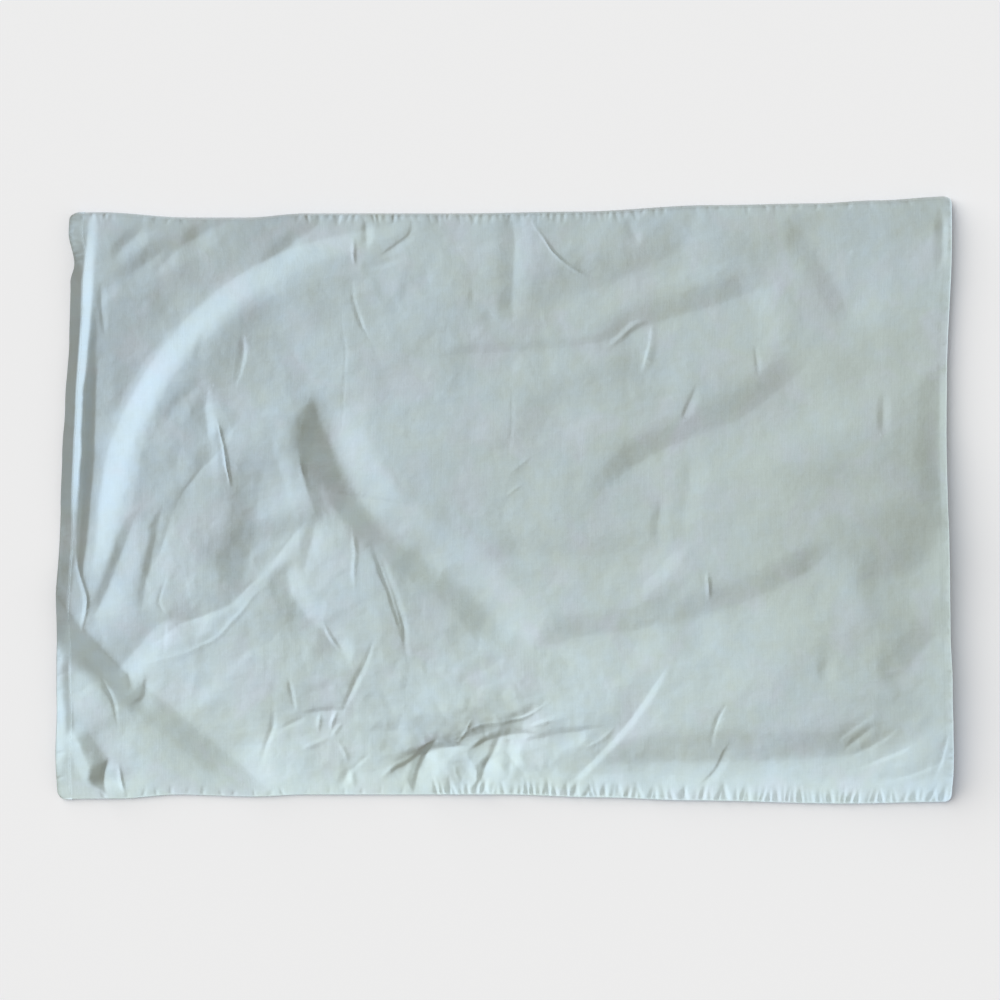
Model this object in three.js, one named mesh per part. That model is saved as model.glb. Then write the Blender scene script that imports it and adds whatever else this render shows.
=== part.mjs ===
// Plain cotton pillow sham, empty and lying flat. A front panel and a back panel are sewn together
// along both long sides and the right-hand end, and are open at the hemmed left-hand end, the mouth.
// Millimetres. +X runs along the sham away from its mouth, +Y across it, +Z up from what it lies on.
import * as THREE from "three";

// Finished size of the sham, smoothed out
const LENGTH = 750;
const WIDTH = 500;

// The cloth and its making
const CLOTH = 1.2; // thickness of one panel
const SEAM_GAP = 0.3; // between the two panels along the seams
const HEM_DEPTH = 12; // from the mouth to the hem's sewing
const HEM_TURN = 0.8; // extra thickness of the turned hem, on the inside
const HEM_STEP = 1; // length of the step from hem to single cloth
const CORNER_ROUND = 7;

// How the empty front panel stands off the back panel
const LOFT = 8.6; // height of its middle surface where no fold lifts it
const SEAM_HEIGHT = 1.5 * CLOTH + SEAM_GAP; // height of its middle surface at a seam
const ROLL = { top: 18, bottom: 30, end: 16 }; // width over which it comes down to each seam
const FOLD_FADE = 0.22; // share of a fold's length over which each end dies away
const FOLD_REACH = 2.6; // widths past which a fold is not felt
const PATH_STEPS = 9; // straight steps for each leg of a fold's path

// How far each edge lies outside the plain rectangle: place along the edge, distance out
const TOP_EDGE = [
  [-375, -7], [-350, -6.5], [-275, -11], [-225, -11], [-175, -7.5], [-45, -7.5],
  [55, -6], [170, -0.5], [260, 1], [310, 3.5], [375, 7],
];
const BOTTOM_EDGE = [
  [-375, 3], [-325, 2.7], [-275, -0.7], [-210, 1], [-170, -0.7], [0, -0.7],
  [80, 1.8], [155, 4.3], [285, 7], [375, 5.5],
];
const MOUTH_EDGE = [
  [-250, 3], [-215, 3.6], [-170, 2.7], [-65, 2.7], [0, 0], [42, -1.5],
  [85, -4], [140, -7.4], [190, -9], [205, -12.5], [232, -7.4], [250, -8],
];
const END_EDGE = [
  [-250, 3], [-216, 3.6], [-152, 1.9], [-110, 0.2], [34, -2.4], [97, -1.5], [211, 2.7], [250, 2.7],
];

// Folds of the front panel: name, rise, width left of the path, width right of it, path over the panel
const FOLDS = [
  ["arch ridge", 9, 22, 18,
    [[-356, -58], [-351, 5], [-341, 50], [-320, 97], [-288, 150], [-242, 190], [-190, 213], [-128, 228]]],
  ["hem crest", 5, 9, 5,
    [[-366, -88], [-366, -45], [-365, 0], [-363, 50], [-360, 100], [-356, 150], [-352, 205], [-349, 240]]],
  ["hem shoulder", 4, 12, 26, [[-336, 70], [-334, 130], [-328, 180], [-318, 222]]],
  ["corner ridge", 9, 30, 17,
    [[-364, -82], [-346, -110], [-322, -143], [-294, -170], [-260, -198], [-228, -222], [-200, -243]]],
  ["slant ridge", 4, 12, 20, [[-322, -116], [-304, -76], [-290, -38], [-274, 2], [-248, 36], [-211, 84]]],
  ["facet ridge", 4.5, 10, 13,
    [[-330, -146], [-292, -117], [-262, -100], [-232, -86], [-208, -66], [-184, -40], [-158, -2]]],
  ["hollow wall", 6, 22, 14, [[-205, 34], [-210, 5], [-213, -28], [-222, -60], [-238, -84]]],
  ["long bend", 9, 18, 24,
    [[-152, 122], [-147, 90], [-141, 55], [-127, 20], [-104, -17], [-71, -49], [-38, -74], [-4, -100]]],
  ["pocket", -2.5, 10, 9, [[-160, 80], [-169, 56], [-170, 28], [-165, 0]]],
  ["plateau edge", 3.5, 10, 13, [[-182, -48], [-181, -74], [-166, -98], [-148, -114], [-128, -142]]],
  ["top crease", 2.6, 10, 9, [[4, 246], [8, 215], [7, 188], [6, 160], [9, 138]]],
  ["upper fold", 4, 18, 20, [[2, 156], [45, 165], [80, 176], [115, 192], [150, 214], [176, 236]]],
  ["upper trough wall", 4.5, 10, 22,
    [[-36, 124], [20, 126], [60, 128], [95, 136], [135, 149], [178, 163], [230, 182]]],
  ["middle fold", 3.2, 12, 20, [[14, 64], [55, 82], [88, 93], [122, 102], [158, 110]]],
  ["long fold", 5.5, 13, 24, [[16, 12], [70, 14], [100, 24], [128, 43], [165, 56], [207, 79], [256, 112]]],
  ["low fold", 2.8, 9, 20, [[-14, -46], [48, -48], [104, -42], [130, -20]]],
  ["upright fold", 2.6, 13, 16, [[150, 48], [154, 5], [158, -40], [163, -80]]],
  ["lower fold", 3.6, 10, 20, [[28, -126], [70, -114], [110, -109], [134, -96], [142, -66]]],
  ["right fold", 4.4, 14, 22, [[138, -102], [178, -91], [215, -78], [250, -62], [276, -42], [292, -4]]],
  ["right rise", 3, 18, 20, [[292, -64], [330, -63], [356, -44], [366, -6]]],
  ["right lower rise", 2.6, 14, 18, [[316, -158], [338, -140], [352, -122], [370, -106]]],
  ["corner wedge", 3, 22, 11, [[236, 246], [260, 210], [284, 170], [292, 140]]],
  ["end rise", 2.6, 6, 12, [[366, 118], [364, 70], [363, 25], [366, -18]]],
  ["bottom swell", 5, 13, 24, [[66, -224], [110, -222], [180, -221], [255, -218], [300, -212], [362, -197]]],
  ["bottom crease", 4, 8, 18, [[-104, -242], [-80, -217], [-45, -204], [0, -190], [40, -170]]],
  ["slanting pleat", 2.6, 12, 6, [[48, -244], [72, -221], [96, -196], [113, -174], [138, -136]]],
];

// Cells of each panel: zones from the mouth along the sham, and from the bottom edge across it, each
// with its width and the number of cells in it
const FRONT_COLUMNS = [[HEM_DEPTH, 3], [HEM_STEP, 1], [35, 8], [680, 44], [22, 4]];
const FRONT_ROWS = [[20, 4], [460, 36], [20, 4]];
const BACK_COLUMNS = [[HEM_DEPTH, 2], [HEM_STEP, 1], [717, 22], [20, 4]];
const BACK_ROWS = [[20, 4], [460, 14], [20, 4]];

const CLOTH_COLOUR = 0xb5c3c3;
const CLOTH_ROUGHNESS = 0.9;

const smooth = (t) => t * t * (3 - 2 * t);
const clamp01 = (t) => Math.min(Math.max(t, 0), 1);

// Distance out of the plain rectangle at a place along an edge
function edgeOut(rows, along) {
  const last = rows.length - 1;
  if (along <= rows[0][0]) return rows[0][1];
  if (along >= rows[last][0]) return rows[last][1];
  const i = rows.findIndex((row) => row[0] > along) - 1;
  const [fromAlong, fromOut] = rows[i];
  const [toAlong, toOut] = rows[i + 1];
  return fromOut + (toOut - fromOut) * smooth((along - fromAlong) / (toAlong - fromAlong));
}

// Turns the square corners of the flat panel into round ones
function roundCorner(x, y) {
  const across = 1 - (LENGTH / 2 - Math.abs(x)) / CORNER_ROUND;
  const up = 1 - (WIDTH / 2 - Math.abs(y)) / CORNER_ROUND;
  if (across <= 0 || up <= 0) return [x, y];
  const shiftX = across * (1 - Math.sqrt(1 - up * up / 2));
  const shiftY = up * (1 - Math.sqrt(1 - across * across / 2));
  return [x - Math.sign(x) * shiftX * CORNER_ROUND, y - Math.sign(y) * shiftY * CORNER_ROUND];
}

// Place on the laid sham of a point of the flat rectangle
function lay(flatX, flatY) {
  const [x, y] = roundCorner(flatX, flatY);
  const u = x / LENGTH + 0.5;
  const v = y / WIDTH + 0.5;
  const outX = u * edgeOut(END_EDGE, y) - (1 - u) * edgeOut(MOUTH_EDGE, y);
  const outY = v * edgeOut(TOP_EDGE, x) - (1 - v) * edgeOut(BOTTOM_EDGE, x);
  return [x + outX, y + outY];
}

// One fold, with its path as straight steps
function makeFold([, rise, left, right, path]) {
  const curve = new THREE.SplineCurve(path.map(([x, y]) => new THREE.Vector2(x, y)));
  const points = curve.getPoints(PATH_STEPS * (path.length - 1));
  const steps = points.slice(1).map((point, i) => ({
    start: points[i],
    run: point.clone().sub(points[i]).normalize(),
    length: point.distanceTo(points[i]),
  }));
  const total = steps.reduce((sum, step) => sum + step.length, 0);
  const reach = FOLD_REACH * Math.max(left, right);
  const box = new THREE.Box2().setFromPoints(points).expandByScalar(reach);
  return { rise, left, right, steps, total, box };
}

// Height that a fold adds at a place: a soft ridge across its path, dying away at both ends
function foldHeight(fold, place) {
  if (!fold.box.containsPoint(place)) return 0;
  let nearest = Infinity;
  let side = 0;
  let along = 0;
  let passed = 0;
  for (const step of fold.steps) {
    const offset = place.clone().sub(step.start);
    const run = THREE.MathUtils.clamp(offset.dot(step.run), 0, step.length);
    const distance = offset.clone().addScaledVector(step.run, -run).length();
    if (distance < nearest) {
      nearest = distance;
      side = step.run.cross(offset);
      along = passed + run;
    }
    passed += step.length;
  }
  const width = side > 0 ? fold.left : fold.right;
  const share = along / fold.total;
  const fade = smooth(clamp01(Math.min(share, 1 - share) / FOLD_FADE));
  return fold.rise * Math.exp(-((nearest / width) ** 2)) * fade;
}

const folds = FOLDS.map(makeFold);

// Height of the front panel's middle surface over a point of the flat rectangle
function frontMiddle(flatX, flatY, x, y) {
  const fromTop = (WIDTH / 2 - flatY) / ROLL.top;
  const fromBottom = (WIDTH / 2 + flatY) / ROLL.bottom;
  const fromEnd = (LENGTH / 2 - flatX) / ROLL.end;
  const rolls = [fromTop, fromBottom, fromEnd].map((t) => Math.sin((clamp01(t) * Math.PI) / 2));
  const stand = rolls[0] * rolls[1] * rolls[2];
  const place = new THREE.Vector2(x, y);
  const lift = folds.reduce((sum, fold) => sum + foldHeight(fold, place), 0);
  return SEAM_HEIGHT + stand * (LOFT - SEAM_HEIGHT + lift);
}

// Extra thickness inside the hem at a distance from the mouth
const hemTurn = (fromMouth) => HEM_TURN * (1 - clamp01((fromMouth - HEM_DEPTH) / HEM_STEP));

// Lower and upper face of each panel over a point
function frontFaces(flatX, flatY, x, y) {
  const middle = frontMiddle(flatX, flatY, x, y);
  const stand = clamp01((middle - SEAM_HEIGHT) / (LOFT - SEAM_HEIGHT));
  return [middle - CLOTH / 2 - stand * hemTurn(flatX + LENGTH / 2), middle + CLOTH / 2];
}

function backFaces(flatX, flatY) {
  const fromSeam = Math.min(WIDTH / 2 - flatY, WIDTH / 2 + flatY);
  const clear = clamp01(fromSeam / HEM_DEPTH);
  return [0, CLOTH + clear * hemTurn(flatX + LENGTH / 2)];
}

// Places along a side of the flat rectangle, from its zones of cells
function graded(zones, whole) {
  const places = [-whole / 2];
  for (const [width, cells] of zones) {
    const start = places[places.length - 1];
    for (let i = 1; i <= cells; i += 1) places.push(start + (width * i) / cells);
  }
  return places;
}

// Closed sheet over a grid of cells, its two faces joined by a rim
function makePanel(name, columnZones, rowZones, faces) {
  const columns = graded(columnZones, LENGTH);
  const rows = graded(rowZones, WIDTH);
  const upper = [];
  const lower = [];
  for (const flatY of rows) {
    for (const flatX of columns) {
      const [x, y] = lay(flatX, flatY);
      const [low, high] = faces(flatX, flatY, x, y);
      upper.push([x, y, high]);
      lower.push([x, y, low]);
    }
  }
  const count = upper.length;
  const across = columns.length;
  const triangles = [];
  const face = (a, b, c) => {
    triangles.push(a, b, c);
    triangles.push(count + a, count + c, count + b);
  };
  for (let j = 0; j < rows.length - 1; j += 1) {
    for (let i = 0; i < across - 1; i += 1) {
      const a = j * across + i;
      const b = a + 1;
      const c = b + across;
      const d = a + across;
      // Each cell is split between the two corners that lie nearer in height, so folds stay crisp
      if (Math.abs(upper[a][2] - upper[c][2]) < Math.abs(upper[b][2] - upper[d][2])) {
        face(a, b, c);
        face(a, c, d);
      } else {
        face(a, b, d);
        face(b, c, d);
      }
    }
  }
  const rim = [];
  const lastRow = (rows.length - 1) * across;
  for (let i = 0; i < across; i += 1) rim.push(i);
  for (let j = 1; j < rows.length; j += 1) rim.push(j * across + across - 1);
  for (let i = across - 2; i >= 0; i -= 1) rim.push(lastRow + i);
  for (let j = rows.length - 2; j > 0; j -= 1) rim.push(j * across);
  rim.forEach((a, k) => {
    const b = rim[(k + 1) % rim.length];
    triangles.push(count + a, count + b, b);
    triangles.push(count + a, b, a);
  });
  const geometry = new THREE.BufferGeometry();
  geometry.setAttribute("position", new THREE.Float32BufferAttribute([...upper, ...lower].flat(), 3));
  geometry.setIndex(triangles);
  geometry.computeVertexNormals();
  const material = new THREE.MeshStandardMaterial({
    color: CLOTH_COLOUR,
    roughness: CLOTH_ROUGHNESS,
    metalness: 0,
  });
  const mesh = new THREE.Mesh(geometry, material);
  mesh.name = name;
  return mesh;
}

const sham = new THREE.Group();
sham.add(makePanel("front_panel", FRONT_COLUMNS, FRONT_ROWS, frontFaces));
sham.add(makePanel("back_panel", BACK_COLUMNS, BACK_ROWS, backFaces));

export default sham;
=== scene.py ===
import math

import bpy
import numpy as np
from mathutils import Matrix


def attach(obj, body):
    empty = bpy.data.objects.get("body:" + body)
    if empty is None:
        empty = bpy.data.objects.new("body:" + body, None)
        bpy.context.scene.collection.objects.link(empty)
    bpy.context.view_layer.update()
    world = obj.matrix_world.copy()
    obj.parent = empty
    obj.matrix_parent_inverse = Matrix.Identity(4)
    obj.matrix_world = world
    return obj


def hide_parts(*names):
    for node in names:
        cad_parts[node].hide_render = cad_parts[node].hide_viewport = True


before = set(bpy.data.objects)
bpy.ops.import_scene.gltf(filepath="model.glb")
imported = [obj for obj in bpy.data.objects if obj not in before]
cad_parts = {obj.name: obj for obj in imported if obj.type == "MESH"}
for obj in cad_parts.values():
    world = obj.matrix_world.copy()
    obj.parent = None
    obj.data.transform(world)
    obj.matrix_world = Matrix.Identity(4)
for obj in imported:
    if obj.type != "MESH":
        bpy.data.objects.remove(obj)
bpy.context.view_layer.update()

# Looks of a plain cotton pillow sham, empty and lying flat on a pale floor.
# Lengths below are millimetres unless a name says otherwise, and meshes are written in metres.
MM = 0.001
bpy.ops.object.select_all(action="DESELECT")

# Finished size of the sham, smoothed out, and its making
LENGTH = 750
WIDTH = 500
CORNER_ROUND = 7
CLOTH = 0.42
HEM_DEPTH = 12
HEM_BEND = 0.55
HEM_CAUGHT = 3
SEAM_LINE = 1.2
SEAM_GAP = 0.03
SEAM_ALLOWANCE = 9
FRONT_ROUND = 1.6
BACK_ROUND = 1.1

# Steps in height where the cloth lies double, and the groove along the hem's stitches
HEM_STEP = 0.35
SEAM_STEP = 0.18
STEP_RUN = 2
GROOVE_DEPTH = 0.3
GROOVE_WIDTH = 0.8

# How high the empty front panel stands between its folds, and how it rises to that from each seam:
# width of a steep rise, its share of the whole, width of the gentle rise that makes up the rest
LOFT = 9.2
RISES = {
    "top": (4, 0.72, 32),
    "bottom": (25, 0.92, 60),
    "end": (2.6, 0.9, 40),
}

# How the back panel lies: mean distance from the floor, change of it, its share of the puckers,
# and the swells of that change: length, width, turn in degrees, seed
BACK_EASE = 0.12
BACK_CHANGE = 0.1
BACK_PUCKERS = 0.3
BACK_SWELL = (60, 25, 20, 11)

# Shape of folds and creases: share of the length that fades at an end, share of the width left there,
# roundness of crest and foot as shares of the width, scale of the widths that the tables give,
# distance in widths up to which a fold is worked out, and steps of a path between two of its points
FOLD_FADE = 0.22
CREASE_FADE = 0.4
END_WIDTH = 0.55
CREST_ROUND = 0.18
FOOT_ROUND = 0.13
FOLD_SPREAD = 1.25
CREASE_SPREAD = 0.9
FOLD_REACH = 2.6
PATH_STEPS = 12

# How far creases waver off their paths, the share by which their rise changes along them,
# and the swells of that change, in the back panel's columns
CREASE_WAVER = 2.2
WAVER_LENGTH = 21
WAVER_SEEDS = (14, 15)
CREASE_CHANGE = 0.5
CREASE_SWELL = (16, 16, 30, 16)

# Knots each way in the patterns of swells and facets, and the bend of a facet's edges in shares of its size
KNOTS = 128
FACET_BEND = 0.55
FACET_BEND_LENGTH = 1.3
FACET_BEND_TURN = 45
FACET_BEND_SEEDS = (100, 200)

# Puckers: least and most half width, least and most share of the rise in their table, lean either way,
# share of the rise right at the seam, distance over which they grow, and reach in half widths
PUCKER_SEED = 21
PUCKER_HALF_WIDTH = (1.0, 2.2)
PUCKER_RISE_SHARE = (0.45, 1.25)
PUCKER_LEAN = 0.35
PUCKER_AT_SEAM = 0.35
PUCKER_GROWTH = 3
PUCKER_SPREAD = 3

# Cells of the cloths' grids, from the hem's inner end and from the bottom seam: width of a zone, cells in it
FRONT_ALONG = [(11, 8), (2, 8), (12, 14), (303, 300), (408, 370), (22, 20), (4, 8)]
FRONT_ACROSS = [(4, 7), (26, 26), (440, 410), (26, 26), (4, 7)]
BACK_ALONG = [(11, 5), (2, 8), (12, 6), (721, 90), (12, 5), (4, 6)]
BACK_ACROSS = [(4, 6), (16, 8), (460, 70), (16, 8), (4, 6)]

# Triangles that are kept on the front cloth's outer face and on all of it
FRONT_FACE_TRIANGLES = 158000
FRONT_TRIANGLES = 196000

# Rounds of evening out its corners, and which: those of faces less upright than this, or leaning more oddly
UNFOLD_ROUNDS = 3
LEAST_UPRIGHT = 0.4
ODD_LEAN = 0.22

# How far each edge lies outside the plain rectangle: place along the edge, distance out
TOP_EDGE = [
    (-375, -7), (-350, -6.5), (-275, -11), (-225, -11), (-175, -7.5), (-45, -7.5),
    (55, -6), (170, -0.5), (260, 1), (310, 3.5), (375, 7),
]
BOTTOM_EDGE = [
    (-375, 3), (-325, 2.7), (-275, -0.7), (-210, 1), (-170, -0.7), (0, -0.7),
    (80, 1.8), (155, 4.3), (285, 7), (375, 5.5),
]
MOUTH_EDGE = [
    (-250, 3), (-215, 3.6), (-170, 2.7), (-65, 2.7), (0, 0), (42, -1.5),
    (85, -4), (140, -7.4), (190, -9), (205, -12.5), (232, -7.4), (250, -8),
]
END_EDGE = [
    (-250, 3), (-216, 3.6), (-152, 1.9), (-110, 0.2), (34, -2.4), (97, -1.5), (211, 2.7), (250, 2.7),
]

# Main folds of the front panel, each a soft ridge or trough along its own path:
# name, rise, width left of the path, width right of it, sharpness of its crest (under 0 is rounder), path
FOLDS = [
    ("arch ridge", 6.9, 42, 12, 0,
     [(-354, -92), (-349, -62), (-344, -30), (-340, 8), (-332, 48), (-313, 89), (-289, 128), (-258, 162),
      (-223, 190), (-175, 213), (-120, 228), (-60, 243)]),
    ("arch upper", 3.2, 70, 12, 0,
     [(-340, 30), (-325, 80), (-295, 128), (-262, 161), (-225, 188), (-176, 212), (-110, 232)]),
    ("arch west", 2.0, 16, 12, 0,
     [(-348, -60), (-344, -24), (-340, 8), (-332, 48), (-315, 85), (-291, 124)]),
    ("arch inside", -3.0, 11, 24, 0,
     [(-318, -50), (-313, 0), (-302, 56), (-279, 104), (-238, 146), (-180, 178), (-110, 196)]),
    ("hem crest", 4.6, 9, 5, 0.3,
     [(-366, -28), (-365, 0), (-362.5, 51), (-360.5, 101), (-356.5, 152), (-353, 203), (-351, 232)]),
    ("hem corner", 3.0, 16, 5, 0.2, [(-356, 160), (-354, 196), (-351, 230), (-348, 290)]),
    ("hem corner lift", 3.0, 12, 6, 0, [(-387, 280), (-385, 240), (-383, 212), (-382, 194)]),
    ("hem droop", -4.6, 4, 9, 0,
     [(-380, -140), (-378, -60), (-375, 10), (-371, 90), (-367, 150), (-365, 206)]),
    ("knuckle pit", -4.4, 13, 6, 0.2,
     [(-365, -190), (-361, -203), (-356, -216), (-350, -228), (-346, -244)]),
    ("hem valley", -2.5, 4, 5, 0.1,
     [(-360, -70), (-357, -20), (-354, 40), (-353, 100), (-350, 150), (-346, 190)]),
    ("mouth rise", 3.5, 6, 20, 0, [(-382, -110), (-381, -150), (-380, -190), (-381, -236)]),
    ("mouth side", 3.0, 18, 6, 0, [(-368, -128), (-366, -156), (-363, -186), (-360, -214)]),
    ("hem shoulder", 3.0, 5, 12, 0.3,
     [(-356, -78), (-354, -50), (-350, -16), (-346, 20), (-344, 60), (-343, 96), (-341, 126)]),
    ("corner ridge", 11.5, 32, 18, 0.2,
     [(-400, -52), (-378, -78), (-361, -96), (-340, -119), (-318, -141), (-298, -157), (-278, -173),
      (-261, -188), (-244, -202), (-223, -219), (-204, -240), (-190, -262)]),
    ("corner band", 3.6, 30, 13, 0.2,
     [(-398, -52), (-376, -80), (-358, -100), (-340, -119), (-320, -140), (-292, -163)]),
    ("corner face", 1.8, 50, 20, 0, [(-300, -100), (-288, -124), (-272, -150), (-252, -176)]),
    ("corner flat", -6.0, 30, 24, 0,
     [(-392, -160), (-355, -186), (-320, -208), (-285, -226), (-245, -240), (-190, -246)]),
    ("slant ridge", 1.4, 26, 7, 0.5,
     [(-214, 84), (-248, 38), (-272, -4), (-284, -30), (-295, -50), (-304, -73), (-313, -98)]),
    ("fan ridge", 2.6, 11, 6, 0.4, [(-310, -8), (-318, -32), (-326, -54), (-335, -78), (-348, -108)]),
    ("fan dark", 1.5, 9, 4, 0.2, [(-287, 2), (-293, -26), (-298, -52), (-303, -76), (-307, -102)]),
    ("facet ridge", 4.6, 24, 13, 0.6,
     [(-336, -156), (-322, -140), (-308, -124), (-296, -109), (-284, -101), (-262, -100), (-240, -91)]),
    ("facet strip", 1.5, 40, 6, 0.6,
     [(-262, -101), (-240, -90), (-222, -78), (-205, -60), (-188, -42), (-168, -14)]),
    ("hollow wall", 6.4, 84, 19, 0,
     [(-198, 40), (-203, 18), (-206, -6), (-209, -32), (-217, -62), (-226, -88)]),
    ("hollow side", 3.6, 64, 30, 0, [(-208, 50), (-214, 20), (-218, -6), (-222, -34), (-230, -70)]),
    ("upper bend", 4.0, 22, 60, 0, [(-222, 172), (-190, 136), (-164, 98), (-146, 62), (-128, 22)]),
    ("long bend", 10.0, 16, 14, -1.2,
     [(-163, 92), (-146, 50), (-130, 18), (-105, -17), (-78, -39), (-50, -57), (-29, -76), (-8, -97),
      (24, -116), (64, -134)]),
    ("bend head", 2.4, 18, 15, -1.0, [(-163, 92), (-146, 50), (-130, 18), (-105, -17)]),
    ("bend flank", 2.6, 30, 22, 0, [(-150, 44), (-130, 10), (-108, -22), (-80, -46), (-50, -66)]),
    ("bend gleam", 4.6, 18, 40, 0,
     [(-112, 4), (-96, -14), (-72, -33), (-45, -51), (-24, -70), (-4, -90), (20, -108)]),
    ("plateau", 4.0, 36, 34, 0,
     [(-200, -40), (-168, -90), (-115, -122), (-50, -138), (30, -136), (100, -122)]),
    ("south slope", 3.5, 60, 80, 0, [(-110, -70), (-40, -84), (40, -78), (100, -68), (150, -64)]),
    ("pocket", -4.6, 8, 60, 0.2, [(-164, 92), (-171, 64), (-174, 42), (-171, 18), (-164, -2), (-156, -24)]),
    ("plateau edge", 4.2, 9, 13, 0, [(-182, -48), (-181, -74), (-166, -98), (-148, -114), (-128, -142)]),
    ("top crease", 2.2, 11, 10, 0.8, [(5, 249), (8, 215), (7, 188), (6, 166), (8, 146)]),
    ("upper fold", 3.2, 18, 30, 0, [(2, 156), (45, 165), (80, 176), (115, 192), (150, 214), (176, 236)]),
    ("upper trough wall", 2.0, 6, 30, 0.1, [(-70, 120), (-20, 123), (30, 126), (70, 130), (104, 140)]),
    ("upper trough end", 6.0, 15, 38, 0.3, [(72, 128), (105, 140), (140, 152), (178, 163), (235, 184)]),
    ("middle fold", 2.0, 16, 30, 0, [(14, 64), (55, 82), (88, 93), (122, 102), (158, 110)]),
    ("long fold", 5.6, 17, 84, 0.2,
     [(78, 3), (92, 15), (106, 25.5), (121, 35), (137, 43), (155, 50.5), (176, 58.5), (199, 68), (232, 92),
      (268, 124)]),
    ("long fold start", 1.8, 13, 30, 0.2,
     [(66, -8), (84, 8), (106, 25.5), (121, 35), (137, 43), (172, 57)]),
    ("low fold", 1.5, 11, 30, 0, [(-24, -45), (48, -48), (104, -42), (132, -14)]),
    ("lower fold", 3.8, 13, 38, 0, [(20, -128), (70, -115), (110, -110), (134, -97), (144, -60)]),
    ("right fold", 4.6, 14, 38, 0, [(128, -108), (178, -95), (215, -82), (250, -64), (284, -36)]),
    ("right rise", 3.0, 18, 20, 0, [(292, -64), (330, -63), (356, -44), (366, -6)]),
    ("right lower rise", 2.6, 14, 18, 0, [(316, -158), (338, -140), (352, -122), (370, -106)]),
    ("corner wedge", 2.6, 22, 11, 0, [(238, 240), (260, 210), (284, 170), (292, 140)]),
    ("end rise", 2.6, 6, 12, 0, [(366, 118), (364, 70), (363, 25), (366, -18)]),
    ("end swell", 12.0, 10, 90, 0, [(374, 90), (376, 10), (377, -80), (375, -300)]),
    ("end tilt", 4.8, 8, 44, 0, [(376, 30), (377, -50), (377, -130), (376, -220)]),
    ("end lip", 4.6, 7, 40, 0, [(378, 310), (377, 220), (376, 140), (375, 60), (376, -20)]),
    ("top end fall", 5.5, 230, 50, 0, [(296, 20), (300, 90), (300, 160), (294, 250)]),
    ("bottom swell", 7.6, 16, 24, 0,
     [(66, -224), (110, -222), (180, -221), (255, -218), (300, -212), (362, -197)]),
    ("bottom crease", 2.4, 5, 18, 0.2, [(-104, -242), (-80, -217), (-45, -204), (0, -190), (40, -170)]),
    ("crush swell", 2.2, 22, 28, 0.2, [(-108, -232), (-72, -209), (-40, -203), (-6, -197), (40, -196)]),
    ("slanting pleat", 2.4, 14, 4, 0.6, [(44, -249), (72, -221), (96, -196), (113, -174), (140, -134)]),
]

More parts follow.
